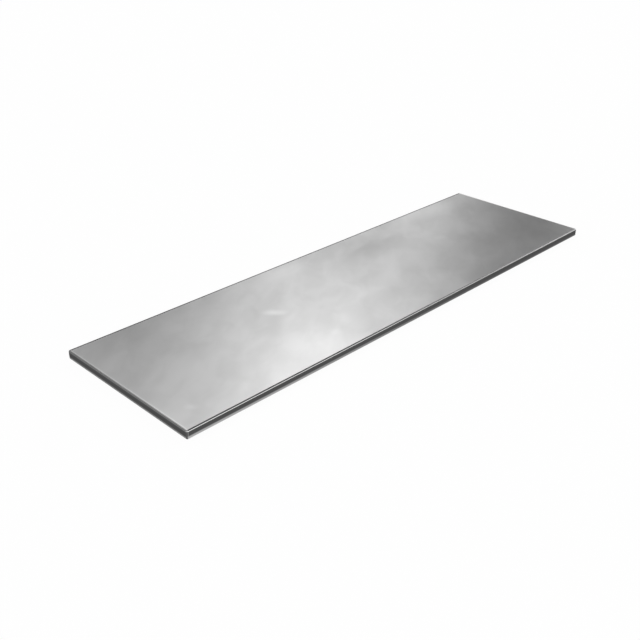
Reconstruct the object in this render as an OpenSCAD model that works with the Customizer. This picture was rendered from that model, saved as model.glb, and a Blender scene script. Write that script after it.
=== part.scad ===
// Steel shim: a flat rectangular packing plate, cut from bright strip and eased on every edge.
// It lies on its lower bearing face, with the length along X, the width along Y and the gauge
// along Z. The origin is the middle of the lower bearing face. All sizes are in millimetres.

/* [Plate] */
// Length of the plate, end to end
plate_length = 200; // [40:1:400]
// Width of the plate, side to side
plate_width = 60; // [20:1:150]
// Gauge of the plate, which is the gap that it packs out
plate_gauge = 3; // [1.5:0.1:12]

/* [Edges] */
// Radius that eases the edges all round both bearing faces
edge_radius = 0.5; // [0.1:0.05:0.7]
// Radius at the corners of the bearing faces, inside the eased edges
face_corner_radius = 0.2; // [0.05:0.05:5]

/* [Hidden] */
$fn = 64;
steel_colour = [0.74, 0.74, 0.75];

// The easing runs round the face's corner at a constant radius, so the upright corner is the sum of both
corner_radius = face_corner_radius + edge_radius;

// Section through the plate, standing on the X axis: a bar of the full gauge with its corners eased
module eased_section(width) {
    translate([0, plate_gauge / 2]) {
        square([width - 2 * edge_radius, plate_gauge], center = true);
        square([width, plate_gauge - 2 * edge_radius], center = true);
        for (x_side = [-1, 1], y_side = [-1, 1])
            translate([x_side * (width / 2 - edge_radius), y_side * (plate_gauge / 2 - edge_radius)])
                circle(edge_radius);
    }
}

// Strip across the full width, as long as the straight part of the long sides
module lengthwise_strip() {
    rotate([90, 0, 90])
        linear_extrude(plate_length - 2 * corner_radius, center = true)
            eased_section(plate_width);
}

// Strip along the full length, as wide as the straight part of the ends
module crosswise_strip() {
    rotate([90, 0, 0])
        linear_extrude(plate_width - 2 * corner_radius, center = true)
            eased_section(plate_length);
}

// Quarter turn of the section, which carries the eased edges round one upright corner
module corner_turn() {
    rotate_extrude(angle = 90)
        intersection() {
            eased_section(2 * corner_radius);
            square([corner_radius, plate_gauge]);
        }
}

// One solid plate: two crossed strips, and the four corner turns that join their eased edges
module shim_plate() {
    color(steel_colour) {
        lengthwise_strip();
        crosswise_strip();
        for (x_side = [0, 1], y_side = [0, 1])
            mirror([x_side, 0, 0])
                mirror([0, y_side, 0])
                    translate([plate_length / 2 - corner_radius, plate_width / 2 - corner_radius, 0])
                        corner_turn();
    }
}

shim_plate();
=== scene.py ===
"""Looks of a plain steel shim: one flat plate of bright rolled steel with eased edges, on a white floor."""
import math
from collections import namedtuple

import bmesh
import bpy
from mathutils import Matrix, Vector


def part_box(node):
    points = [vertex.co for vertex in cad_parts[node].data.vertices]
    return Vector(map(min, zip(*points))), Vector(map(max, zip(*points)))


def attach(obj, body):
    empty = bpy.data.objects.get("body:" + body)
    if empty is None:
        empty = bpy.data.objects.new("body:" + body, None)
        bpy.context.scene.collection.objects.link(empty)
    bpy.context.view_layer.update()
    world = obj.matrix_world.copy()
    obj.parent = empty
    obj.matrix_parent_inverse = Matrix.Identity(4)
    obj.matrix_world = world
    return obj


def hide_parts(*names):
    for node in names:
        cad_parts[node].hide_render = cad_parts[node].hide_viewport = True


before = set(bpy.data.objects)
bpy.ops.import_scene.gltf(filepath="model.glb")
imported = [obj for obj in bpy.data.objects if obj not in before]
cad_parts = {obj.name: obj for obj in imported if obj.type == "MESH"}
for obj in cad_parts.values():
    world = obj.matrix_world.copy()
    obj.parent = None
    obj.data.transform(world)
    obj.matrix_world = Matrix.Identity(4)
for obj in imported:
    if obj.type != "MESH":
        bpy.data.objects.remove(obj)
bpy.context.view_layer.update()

plate_low, plate_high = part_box("shim_plate")

MM = 0.001
WHITE = (1.0, 1.0, 1.0, 1.0)

# Camera: bearing from the -Y side, height and roll in degrees, lengths in metres, and the lens and its
# sensor in millimetres
CAMERA_AZIMUTH = -45.27
CAMERA_ELEVATION = 28.48
CAMERA_ROLL = 0.242
CAMERA_DISTANCE = 0.28978
CAMERA_TARGET = Vector((-0.0268, -0.00722, 0.0))
CAMERA_CLIP_START = 10 * MM
CAMERA_LENS = 48.36
CAMERA_SENSOR = 36.0

# Studio dome: radiance of its walls, of the ceiling above them and of the white band at the horizon. The
# ceiling fades in, and the white band fades out, between two heights in degrees above the floor.
WALL_LEVEL = 0.155
CEILING_LEVEL = 0.4
CEILING_FADE = (52, 64)
HORIZON_LEVEL = 1.0
HORIZON_FADE = (5, 14)
# Panels on the dome, in degrees: the bearings of their right and left edges, where 0 is +X and 90 is +Y,
# the heights of their lower and upper edges, and half the widths that the right edge, the left edge and
# both level edges fade over. One with an upper edge past 90 degrees reaches the top of the dome.
Panel = namedtuple("Panel", "radiance right left lower upper fades")
# Softboxes, which add to the light of the dome. The key goes on behind the camera past a bearing of
# 180 degrees, so it is two panels that meet there.
SOFTBOXES = {
    "back": Panel(radiance=2.7, right=40, left=51, lower=29, upper=45, fades=(5, 8, 2)),
    "back_fill": Panel(radiance=0.8, right=34, left=42, lower=5, upper=38, fades=(1, 15, 4)),
    "back_low": Panel(radiance=0.6, right=34, left=60, lower=10, upper=24, fades=(2, 6, 3)),
    "back_left": Panel(radiance=1.9, right=57, left=84, lower=36, upper=53, fades=(4, 6, 4)),
    "left_high": Panel(radiance=2.0, right=73, left=135, lower=43, upper=60, fades=(4, 10, 3)),
    "left_low": Panel(radiance=0.25, right=95, left=150, lower=12, upper=40, fades=(6, 8, 4)),
    "right": Panel(radiance=1.9, right=-18, left=24, lower=5, upper=41, fades=(2, 3, 2)),
    "right_low": Panel(radiance=0.4, right=-75, left=-19, lower=6, upper=33, fades=(8, 3, 4)),
    "key": Panel(radiance=1.2, right=-200, left=-62, lower=14, upper=105, fades=(5, 8, 6)),
    "key_end": Panel(radiance=1.2, right=154, left=200, lower=14, upper=105, fades=(6, 5, 6)),
}
# Black flag, which hides the part of the dome behind it
FLAG = Panel(radiance=0.0, right=-75, left=42, lower=42, upper=88, fades=(8, 6, 3))

# Floor: pale matt paper that glows to white where it is looked at, and still takes a faint shadow
FLOOR_RADIUS = 6.0
FLOOR_SIDES = 96
FLOOR_COLOUR = (0.95, 0.95, 0.95, 1.0)
FLOOR_GLOW = 1.0
FLOOR_GLOW_SHARE = 0.95

# Plate edges, in metres, as the solid has them, and how finely they are meshed
EDGE_RADIUS = 0.5 * MM
FACE_CORNER_RADIUS = 0.2 * MM
EDGE_STEPS = 12
SIDE_STEPS = 6
CORNER_STEPS = 8
GRID_STEP = 4 * MM

# Sheet of the plate's surface that its finish is baked on, as shares of the sheet
SHEET_MARGIN = 0.008
SHEET_FACE_HEIGHT = 0.295
SHEET_SIDE_HEIGHT = 0.09

# Steel, as reflected shares: the rolled faces where their clouds are dark and light, the finer mottle on
# them, and the gain of a painted highlight along their ends
ROLLED_DARK = 0.54
ROLLED_LIGHT = 0.6
MOTTLE = 0.021
END_HIGHLIGHT_GAIN = 0.11
# The rims and bands of the eased edges, the cut sides with their upright corners, the band low on the
# sides, and the line along the far edge. These are painted light and shade: the dark rim, the ends' easing
# and the far line are painted shade, the bright bands and the lighter upright corner are painted
# highlights, and the low band is a painted reflection. The cut sides are dark as cut steel, and darker
# still with painted shade.
RIM_PAINTED_SHADE = 0.28
EDGE_PAINTED_HIGHLIGHT = 0.85
END_EASING_PAINTED_SHADE = 0.23
SIDE_CUT_SHADE = 0.08
END_CUT_SHADE = 0.044
CORNER_ARRIS_HIGHLIGHT = 0.2
LOW_PAINTED_REFLECTION = 0.45
FAR_LINE_SHADE = 0.08
# Share of a reflection that the steel keeps at a glancing angle
GLANCING = 0.57
FACE_ROUGHNESS = 0.28
CUT_ROUGHNESS = 0.4

# Bands of the edges' painted light and shade, of which the cut sides' bands also set where the steel is
# rougher, each with the range that it fades over. These go by the upward share of the surface's normal,
# which is 1 on the upper face, 0 on the sides and -1 on the lower face.
SIDE_RIM_ABOVE = (0.55, 0.61)
END_RIM_ABOVE = (0.92, 0.95)
SIDE_CUT_BELOW = (0.23, 0.26)
END_CUT_BELOW = (-0.1, 0.3)
LOWER_HIGHLIGHT_BELOW = (-0.3, 0.0)
FAR_LINE_ABOVE = (0.9, 0.98)
# On the long sides the upper bands rise by this share between two places along the plate, in millimetres
BANDS_RISE = 0.2
BANDS_RISE_ALONG = (-20.0, 60.0)
# These go by millimetres outward past the edge of the flat faces
EDGE_FROM = (-0.03, 0.05)
END_HIGHLIGHT_FROM = (-0.5, -0.2)
FAR_LINE_FROM = (-0.38, -0.28)
# These go by height in millimetres
SIDE_LOW_REFLECTION_BELOW = (0.9, 1.35)
END_LOW_REFLECTION_BELOW = (0.76, 1.0)
# How strong the painted low reflection is: at two places along the long sides, in millimetres, and on the
# ends
SIDE_LOW_REFLECTION_ALONG = (-125.0, 45.0)
SIDE_LOW_REFLECTION = (1.0, 0.12)
END_LOW_REFLECTION = 0.47
# Upright corners, by the share of the turn from a long side to an end: the range that each band fades in
# over and the range that it fades out over. One is a lighter arris of painted highlight, the other a tip
# where the painted low reflection and the lower painted highlight are left out.
CORNER_ARRIS = ((0.0, 0.15), (0.15, 0.4))
CORNER_TIP = ((0.3, 0.5), (0.75, 0.95))

# Clouds of the rolled faces, drawn out at a slant: their start in the noise in millimetres, their turn in
# degrees and how far they are drawn out. Then the noise of the large and of the small ones, with scales per
# millimetre, and the part of its range that is used.
SMEAR_START = (500.0, 0.0)
SMEAR_TURN = 35.0
SMEAR_STRETCH = (1.7, 1.0, 1.0)
LARGE_CLOUDS = {"Scale": 0.06, "Detail": 2.0, "Roughness": 0.45, "Distortion": 0.6}
SMALL_CLOUDS = {"Scale": 0.15, "Detail": 2.0, "Roughness": 0.5, "Distortion": 0.5}
NOISE_RANGE = (0.3, 0.7)
# Soft oval marks, partly handling marks and single clouds of the steel and partly painted reflection and
# painted shade, as lighter and darker patches: middle and half size in millimetres, turn in degrees, gain
# in reflected share. They are so deep that they lie alike on both faces.
Mark = namedtuple("Mark", "middle half_size turn gain")
MARK_HALF_DEPTH = 1000.0
MARKS = {
    "smear": Mark(middle=(-38.0, 3.5), half_size=(6.0, 3.0), turn=-45.0, gain=0.12),
    "far_spot": Mark(middle=(53.0, 4.0), half_size=(4.0, 3.0), turn=-45.0, gain=0.04),
    "near_spot": Mark(middle=(-33.0, -20.0), half_size=(3.0, 3.0), turn=-45.0, gain=0.03),
    "end_spot": Mark(middle=(-92.0, -21.5), half_size=(3.0, 2.0), turn=-45.0, gain=0.05),
    "wisp": Mark(middle=(-55.0, -8.0), half_size=(10.0, 2.5), turn=15.0, gain=0.03),
    "far_dark_cloud": Mark(middle=(26.0, 18.0), half_size=(24.0, 16.0), turn=0.0, gain=-0.08),
    "far_light_cloud": Mark(middle=(74.0, 26.0), half_size=(28.0, 11.0), turn=0.0, gain=0.11),
    "far_middle_cloud": Mark(middle=(-14.0, 25.0), half_size=(18.0, 10.0), turn=0.0, gain=0.07),
    "far_end_cloud": Mark(middle=(-82.0, 13.0), half_size=(22.0, 11.0), turn=0.0, gain=0.04),
    "near_light_cloud": Mark(middle=(-42.0, -26.0), half_size=(18.0, 8.0), turn=0.0, gain=0.03),
    "near_end_cloud": Mark(middle=(-68.0, -15.0), half_size=(26.0, 12.0), turn=0.0, gain=-0.04),
    "near_dark_cloud": Mark(middle=(50.0, -9.0), half_size=(45.0, 14.0), turn=0.0, gain=-0.045),
}


def node(tree, kind, sockets=None, **settings):
    """New shader node, with its properties set and its input sockets set or linked."""
    made = tree.nodes.new(kind)
    for name, value in settings.items():
        setattr(made, name, value)
    for key, value in (sockets or {}).items():
        if isinstance(value, bpy.types.NodeSocket):
            tree.links.new(value, made.inputs[key])
        else:
            made.inputs[key].default_value = value
    return made


def calculate(tree, operation, *values):
    """One arithmetic step."""
    return node(tree, "ShaderNodeMath", dict(enumerate(values)), operation=operation).outputs["Value"]


def remap(tree, value, from_low, from_high, to_low=0.0, to_high=1.0):
    """Smooth step from one range to another, held at its ends."""
    sockets = {
        "Value": value,
        "From Min": from_low,
        "From Max": from_high,
        "To Min": to_low,
        "To Max": to_high,
    }
    return node(tree, "ShaderNodeMapRange", sockets, interpolation_type="SMOOTHSTEP").outputs["Result"]


def between(tree, value, rise, fall):
    """Soft band: 1 between the range that it fades in over and the range that it fades out over, else 0."""
    return calculate(tree, "MULTIPLY", remap(tree, value, *rise), remap(tree, value, *fall, 1.0, 0.0))


def mix_values(tree, share, first, second):
    """Number between two numbers."""
    return node(tree, "ShaderNodeMix", {0: share, 2: first, 3: second}, data_type="FLOAT").outputs[0]


def noise(tree, vector, settings):
    """Soft noise from 0 to 1."""
    return node(tree, "ShaderNodeTexNoise", {"Vector": vector, **settings}).outputs["Fac"]


def laid_out(tree, place, start, turn, unit):
    """Place counted from a start, along axes turned on the level, in a unit for each axis."""
    sockets = {
        "Vector": place,
        "Location": (*start, 0.0),
        "Rotation": (0.0, 0.0, math.radians(turn)),
        "Scale": unit,
    }
    return node(tree, "ShaderNodeMapping", sockets, vector_type="TEXTURE").outputs["Vector"]


def compass(bearing):
    """Level unit direction from a compass bearing in degrees."""
    return Vector((math.cos(math.radians(bearing)), math.sin(math.radians(bearing)), 0.0))


def make_camera():
    """Camera at the photograph's viewing angle."""
    azimuth, elevation = math.radians(CAMERA_AZIMUTH), math.radians(CAMERA_ELEVATION)
    back = Vector((
        math.sin(azimuth) * math.cos(elevation),
        -math.cos(azimuth) * math.cos(elevation),
        math.sin(elevation),
    ))
    right = Vector((math.cos(azimuth), math.sin(azimuth), 0.0))
    turn = Matrix((right, back.cross(right), back)).transposed().to_4x4()
    roll = Matrix.Rotation(math.radians(CAMERA_ROLL), 4, "Z")
    camera = bpy.data.objects.new("camera", bpy.data.cameras.new("camera"))
    camera.data.lens = CAMERA_LENS
    camera.data.sensor_width = CAMERA_SENSOR
    camera.data.clip_start = CAMERA_CLIP_START
    camera.matrix_world = Matrix.Translation(CAMERA_TARGET + back * CAMERA_DISTANCE) @ turn @ roll
    bpy.context.collection.objects.link(camera)
    bpy.context.scene.camera = camera


def soft_edge(angle, half_width):
    """Range in radians that an edge on the dome fades over, from degrees."""
    return math.radians(angle - half_width), math.radians(angle + half_width)


def inside(tree, panel, bearing, height):
    """How far a direction is inside a panel on the dome, from 0 to 1."""
    right_fade, left_fade, level_fade = panel.fades
    rise, fall = soft_edge(panel.right, right_fade), soft_edge(panel.left, left_fade)
    across = between(tree, bearing, rise, fall)
    rise, fall = soft_edge(panel.lower, level_fade), soft_edge(panel.upper, level_fade)
    return calculate(tree, "MULTIPLY", across, between(tree, height, rise, fall))


def make_world():
    """Soft studio light: softboxes on the walls of a dim dome, with a flag, and a white horizon."""
    world = bpy.data.worlds.new("studio")
    world.use_nodes = True
    bpy.context.scene.world = world
    tree = world.node_tree
    direction = node(tree, "ShaderNodeTexCoord").outputs["Generated"]
    x, y, z = node(tree, "ShaderNodeSeparateXYZ", {0: direction}).outputs
    bearing = calculate(tree, "ARCTAN2", y, x)
    height = calculate(tree, "ARCSINE", z)
    light = remap(tree, height, *map(math.radians, CEILING_FADE), WALL_LEVEL, CEILING_LEVEL)
    for panel in SOFTBOXES.values():
        share = inside(tree, panel, bearing, height)
        light = calculate(tree, "MULTIPLY_ADD", share, panel.radiance, light)
    light = mix_values(tree, inside(tree, FLAG, bearing, height), light, FLAG.radiance)
    horizon = remap(tree, height, *map(math.radians, HORIZON_FADE), 1.0, 0.0)
    light = mix_values(tree, horizon, light, HORIZON_LEVEL)
    background = tree.nodes["Background"]
    background.inputs["Color"].default_value = WHITE
    tree.links.new(light, background.inputs["Strength"])


def paper_material():
    """White paper: matt to the light that it sends on, glowing where the camera or a reflection sees it."""
    material = bpy.data.materials.new("white_paper")
    material.use_nodes = True
    tree = material.node_tree
    tree.nodes.remove(tree.nodes["Principled BSDF"])
    path = node(tree, "ShaderNodeLightPath").outputs
    seen = calculate(tree, "MAXIMUM", path["Is Camera Ray"], path["Is Glossy Ray"])
    seen = calculate(tree, "MAXIMUM", seen, path["Is Transmission Ray"])
    matt = node(tree, "ShaderNodeBsdfDiffuse", {"Color": FLOOR_COLOUR}).outputs["BSDF"]
    glow = node(tree, "ShaderNodeEmission", {"Color": WHITE, "Strength": FLOOR_GLOW}).outputs["Emission"]
    share = calculate(tree, "MULTIPLY", seen, FLOOR_GLOW_SHARE)
    mixed = node(tree, "ShaderNodeMixShader", {0: share, 1: matt, 2: glow}).outputs["Shader"]
    tree.links.new(mixed, tree.nodes["Material Output"].inputs["Surface"])
    return material


def make_floor():
    """White studio floor, level with the plate's lower face."""
    shape = bmesh.new()
    bmesh.ops.create_circle(shape, cap_ends=True, segments=FLOOR_SIDES, radius=FLOOR_RADIUS)
    mesh = bpy.data.meshes.new("floor")
    shape.to_mesh(mesh)
    shape.free()
    mesh.materials.append(paper_material())
    floor = bpy.data.objects.new("floor", mesh)
    floor.location.z = plate_low.z
    bpy.context.collection.objects.link(floor)


def spaced(low, high, step):
    """Even places from low to high, about a step apart."""
    count = max(1, round((high - low) / step))
    return [low + (high - low) * place / count for place in range(count + 1)]


def plate_outline(columns, rows):
    """Walk round the plate, side by side: points on the inner rectangle, with their outward directions."""
    sides = (
        ([(x, rows[0]) for x in columns], -90),
        ([(columns[-1], y) for y in rows], 0),
        ([(x, rows[-1]) for x in reversed(columns)], 90),
        ([(columns[0], y) for y in reversed(rows)], 180),
    )
    walk = []
    for points, bearing in sides:
        side = [(point, compass(bearing)) for point in points]
        turns = [bearing + 90 * step / CORNER_STEPS for step in range(1, CORNER_STEPS)]
        walk.append(side + [(points[-1], compass(turn)) for turn in turns])
    return walk


def edge_profile(thickness):
    """Steps up the side of the plate, each with its inset, its height and the tilt of its normal."""
    lower = []
    for step in reversed(range(EDGE_STEPS + 1)):
        tilt = -math.pi / 2 * step / EDGE_STEPS
        lower.append((EDGE_RADIUS * (1 - math.cos(tilt)), EDGE_RADIUS * (1 + math.sin(tilt)), tilt))
    upper = [(inset, thickness - height, -tilt) for inset, height, tilt in reversed(lower)]
    heights = spaced(EDGE_RADIUS, thickness - EDGE_RADIUS, (thickness - 2 * EDGE_RADIUS) / SIDE_STEPS)
    return lower + [(0.0, height, 0.0) for height in heights[1:-1]] + upper


def shares(points):
    """How far along a line of points each one lies, from 0 to 1."""
    lengths = [0.0]
    for before, after in zip(points, points[1:]):
        lengths.append(lengths[-1] + (after - before).length)
    return [length / lengths[-1] for length in lengths]


class Plate:
    """Mesh of the plate under way: points with their true normals, and faces with their sheet places."""

    def __init__(self):
        self.corner_radius = FACE_CORNER_RADIUS + EDGE_RADIUS
        self.size = plate_high - plate_low
        self.middle = (plate_low + plate_high) / 2
        half_size = self.size / 2
        self.columns = spaced(self.corner_radius - half_size.x, half_size.x - self.corner_radius, GRID_STEP)
        self.rows = spaced(self.corner_radius - half_size.y, half_size.y - self.corner_radius, GRID_STEP)
        self.sides = plate_outline(self.columns, self.rows)
        self.walk = [place for side in self.sides for place in side]
        self.shape = bmesh.new()
        self.sheet = self.shape.loops.layers.uv.new("OFBake")
        self.normals = []

    def point(self, x, y, z, normal):
        """New point, from the middle of the lower face."""
        self.normals.append(normal)
        return self.shape.verts.new((self.middle.x + x, self.middle.y + y, plate_low.z + z))

    def face(self, corners, places):
        """New face, with the place of each corner on the sheet."""
        made = self.shape.faces.new(corners)
        for loop, place in zip(made.loops, places):
            loop[self.sheet].uv = place

    def ring(self, inset, height, tilt):
        """Ring of points round the plate at one step up its side."""
        points = []
        for (x, y), outward in self.walk:
            reach = outward * (self.corner_radius - inset)
            normal = outward * math.cos(tilt) + Vector((0.0, 0.0, math.sin(tilt)))
            points.append(self.point(x + reach.x, y + reach.y, height, normal))
        return points

    def side_strips(self, rings, bottoms, widths):
        """Faces of each side with the corner that follows it, on a strip of the sheet of their own."""
        up_shares = shares([ring[0].co for ring in rings])
        middle_ring = rings[len(rings) // 2]
        first = 0
        for side, bottom, (left, right) in zip(self.sides, bottoms, widths):
            steps = [(first + step) % len(self.walk) for step in range(len(side) + 1)]
            along_shares = shares([middle_ring[step].co for step in steps])
            along = [left + (right - left) * share for share in along_shares]
            up = [bottom + SHEET_SIDE_HEIGHT * share for share in up_shares]
            for level in range(len(rings) - 1):
                lower, upper = rings[level], rings[level + 1]
                for place in range(len(side)):
                    start, end = steps[place], steps[place + 1]
                    self.face(
                        (lower[start], lower[end], upper[end], upper[start]),
                        (
                            (along[place], up[level]),
                            (along[place + 1], up[level]),
                            (along[place + 1], up[level + 1]),
                            (along[place], up[level + 1]),
                        ),
                    )
            first += len(side)

    def flat(self, ring, height, upward, bottom):
        """Faces of one bearing face inside its ring, on a rectangle of the sheet."""
        grid = {}
        for x in self.columns:
            for y in self.rows:
                grid[x, y] = self.point(x, y, height, Vector((0.0, 0.0, upward)))
        loops = []
        for left, right in zip(self.columns, self.columns[1:]):
            for near, far in zip(self.rows, self.rows[1:]):
                loops.append([grid[left, near], grid[right, near], grid[right, far], grid[left, far]])
        for step in range(len(self.walk)):
            after = (step + 1) % len(self.walk)
            start, end = grid[self.walk[step][0]], grid[self.walk[after][0]]
            border = [ring[step], ring[after], end, start]
            loops.append(border[:3] if start is end else border)
        width = 1 - 2 * SHEET_MARGIN
        for loop in loops:
            if upward < 0:
                loop.reverse()
            places = []
            for corner in loop:
                across = SHEET_MARGIN + width * (corner.co.x - plate_low.x) / self.size.x
                up = bottom + SHEET_FACE_HEIGHT * (corner.co.y - plate_low.y) / self.size.y
                places.append((across, up))
            self.face(loop, places)

    def build(self):
        """Object of the whole plate."""
        rings = [self.ring(*step) for step in edge_profile(self.size.z)]
        face_step = SHEET_FACE_HEIGHT + SHEET_MARGIN
        side_step = SHEET_SIDE_HEIGHT + SHEET_MARGIN
        first_side = SHEET_MARGIN + 2 * face_step
        long_width = (SHEET_MARGIN, 1 - SHEET_MARGIN)
        end_widths = ((SHEET_MARGIN, 0.5 - SHEET_MARGIN), (0.5 + SHEET_MARGIN, 1 - SHEET_MARGIN))
        end_bottom = first_side + 2 * side_step
        self.side_strips(
            rings,
            (first_side, end_bottom, first_side + side_step, end_bottom),
            (long_width, end_widths[0], long_width, end_widths[1]),
        )
        self.flat(rings[0], 0.0, -1, SHEET_MARGIN)
        self.flat(rings[-1], self.size.z, 1, SHEET_MARGIN + face_step)
        mesh = bpy.data.meshes.new("shim_plate_finished")
        self.shape.to_mesh(mesh)
        self.shape.free()
        mesh.shade_smooth()
        mesh.normals_split_custom_set_from_vertices(self.normals)
        plate = bpy.data.objects.new("shim_plate_finished", mesh)
        bpy.context.collection.objects.link(plate)
        return plate


# Spot on the plate: its place in millimetres and the parts of that, the upward share of its normal, the
# same share less the rise of the long sides' bands, and its turn from 0 on a long side to 1 on an end
Spot = namedtuple("Spot", "place x y z upward side_upward end_share")


def surface_spot(tree):
    """Spot that is being shaded."""
    coordinates = node(tree, "ShaderNodeTexCoord").outputs
    sockets = {0: coordinates["Object"], "Scale": 1 / MM}
    place = node(tree, "ShaderNodeVectorMath", sockets, operation="SCALE").outputs["Vector"]
    x, y, z = node(tree, "ShaderNodeSeparateXYZ", {0: place}).outputs
    along, across, upward = node(tree, "ShaderNodeSeparateXYZ", {0: coordinates["Normal"]}).outputs
    rise = remap(tree, x, *BANDS_RISE_ALONG, 0.0, BANDS_RISE)
    side_upward = calculate(tree, "SUBTRACT", upward, rise)
    along, across = calculate(tree, "ABSOLUTE", along), calculate(tree, "ABSOLUTE", across)
    end_share = calculate(tree, "DIVIDE", calculate(tree, "ARCTAN2", along, across), math.pi / 2)
    return Spot(place, x, y, z, upward, side_upward, end_share)


def past_flats(tree, spot):
    """Millimetres outward past the flat faces at the ends and at the long sides, below 0 on the flats."""
    past_end = calculate(tree, "ABSOLUTE", spot.x)
    past_end = calculate(tree, "SUBTRACT", past_end, (plate_high.x - EDGE_RADIUS) / MM)
    past_side = calculate(tree, "ABSOLUTE", spot.y)
    past_side = calculate(tree, "SUBTRACT", past_side, (plate_high.y - EDGE_RADIUS) / MM)
    return past_end, past_side


def handling_and_reflection_mark(tree, place, mark):
    """How far a place is in a soft oval mark: 1 in its middle and 0 at its rim."""
    local = laid_out(tree, place, mark.middle, mark.turn, (*mark.half_size, MARK_HALF_DEPTH))
    reach = node(tree, "ShaderNodeVectorMath", {0: local}, operation="LENGTH").outputs["Value"]
    return remap(tree, reach, 0.0, 1.0, 1.0, 0.0)


def rolled_face(tree, spot):
    """Reflected share of the rolled faces: soft clouds, a finer mottle and a few oval marks, partly
    handling marks and partly painted reflection and shade.
    """
    smeared = laid_out(tree, spot.place, SMEAR_START, SMEAR_TURN, SMEAR_STRETCH)
    share = remap(tree, noise(tree, smeared, LARGE_CLOUDS), *NOISE_RANGE, ROLLED_DARK, ROLLED_LIGHT)
    mottle = remap(tree, noise(tree, smeared, SMALL_CLOUDS), *NOISE_RANGE, -MOTTLE, MOTTLE)
    share = calculate(tree, "ADD", share, mottle)
    for mark in MARKS.values():
        share = calculate(tree, "MULTIPLY_ADD", handling_and_reflection_mark(tree, spot.place, mark), mark.gain, share)
    return share


def upper_easing(tree, spot):
    """Reflected share of the upper easing, as painted light and shade: a dark rim, with a bright band of
    painted highlight below it on the long sides, and a darker easing of painted shade on the ends.
    """
    side = remap(tree, spot.side_upward, *SIDE_RIM_ABOVE, EDGE_PAINTED_HIGHLIGHT, RIM_PAINTED_SHADE)
    end = remap(tree, spot.upward, *END_RIM_ABOVE, END_EASING_PAINTED_SHADE, RIM_PAINTED_SHADE)
    return mix_values(tree, spot.end_share, side, end)


def cut_sides(tree, spot):
    """How far a spot is on the dull cut sides, and their reflected share: dark as cut steel and darker
    still with painted shade, with a painted highlight at the upright corners.
    """
    side = remap(tree, spot.side_upward, *SIDE_CUT_BELOW, 1.0, 0.0)
    end = remap(tree, spot.upward, *END_CUT_BELOW, 1.0, 0.0)
    cut = mix_values(tree, spot.end_share, side, end)
    share = mix_values(tree, spot.end_share, SIDE_CUT_SHADE, END_CUT_SHADE)
    arris_highlight = between(tree, spot.end_share, *CORNER_ARRIS)
    return cut, mix_values(tree, arris_highlight, share, CORNER_ARRIS_HIGHLIGHT)


def lower_bands(tree, spot):
    """How far a spot is on the painted reflection low on the sides, and on the painted highlight of the
    long sides' lower easing.
    """
    side_low_reflection = calculate(
        tree,
        "MULTIPLY",
        remap(tree, spot.z, *SIDE_LOW_REFLECTION_BELOW, 1.0, 0.0),
        remap(tree, spot.x, *SIDE_LOW_REFLECTION_ALONG, *SIDE_LOW_REFLECTION),
    )
    end_low_reflection = remap(tree, spot.z, *END_LOW_REFLECTION_BELOW, END_LOW_REFLECTION, 0.0)
    low_reflection = mix_values(tree, spot.end_share, side_low_reflection, end_low_reflection)
    side_lower_highlight = remap(tree, spot.upward, *LOWER_HIGHLIGHT_BELOW, 1.0, 0.0)
    lower_highlight = mix_values(tree, spot.end_share, side_lower_highlight, 0.0)
    tip = between(tree, spot.end_share, *CORNER_TIP)
    return mix_values(tree, tip, low_reflection, 0.0), mix_values(tree, tip, lower_highlight, 0.0)


def far_line_shade(tree, spot):
    """How far a spot is on the thin dark line of painted shade along the far edge of the upper face."""
    past_far_side = calculate(tree, "SUBTRACT", spot.y, (plate_high.y - EDGE_RADIUS) / MM)
    outward = remap(tree, past_far_side, *FAR_LINE_FROM)
    return calculate(tree, "MULTIPLY", outward, remap(tree, spot.upward, *FAR_LINE_ABOVE))


def steel_material():
    """Bright rolled steel: cloudy faces, eased edges in bands of painted highlight and shade, cut sides
    darkened with painted shade and carrying a painted low reflection, and a far line of painted shade.
    """
    material = bpy.data.materials.new("bright_rolled_steel")
    material.use_nodes = True
    tree = material.node_tree
    spot = surface_spot(tree)

    cut, cut_shaded_share = cut_sides(tree, spot)
    low_reflection, lower_painted_highlight = lower_bands(tree, spot)
    # Eased edges and cut sides, with their painted highlights and painted shade
    edge_share = mix_values(tree, cut, upper_easing(tree, spot), cut_shaded_share)
    # Painted reflection low on the sides, then painted highlight on the long sides' lower easing
    edge_share = mix_values(tree, low_reflection, edge_share, LOW_PAINTED_REFLECTION)
    edge_share = mix_values(tree, lower_painted_highlight, edge_share, EDGE_PAINTED_HIGHLIGHT)

    past_end, past_side = past_flats(tree, spot)
    # Painted highlight along the ends of the faces
    end_highlight = remap(tree, past_end, *END_HIGHLIGHT_FROM, 0.0, END_HIGHLIGHT_GAIN)
    face_share = calculate(tree, "ADD", rolled_face(tree, spot), end_highlight)
    edge = remap(tree, calculate(tree, "MAXIMUM", past_end, past_side), *EDGE_FROM)
    share = mix_values(tree, edge, face_share, edge_share)
    # Dark line of painted shade along the far edge
    share = mix_values(tree, far_line_shade(tree, spot), share, FAR_LINE_SHADE)
    dull = calculate(tree, "MULTIPLY", cut, edge)
    roughness = mix_values(tree, dull, FACE_ROUGHNESS, CUT_ROUGHNESS)

    grey = {"Red": share, "Green": share, "Blue": share}
    colour = node(tree, "ShaderNodeCombineColor", grey).outputs["Color"]
    shader = tree.nodes["Principled BSDF"]
    shader.inputs["Metallic"].default_value = 1.0
    shader.inputs["Specular Tint"].default_value = (GLANCING, GLANCING, GLANCING, 1.0)
    tree.links.new(colour, shader.inputs["Base Color"])
    tree.links.new(roughness, shader.inputs["Roughness"])
    return material


bpy.context.scene.view_settings.view_transform = "Standard"
make_camera()
make_world()
make_floor()
plate = Plate().build()
plate.data.materials.append(steel_material())
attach(plate, "root")
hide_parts("shim_plate")
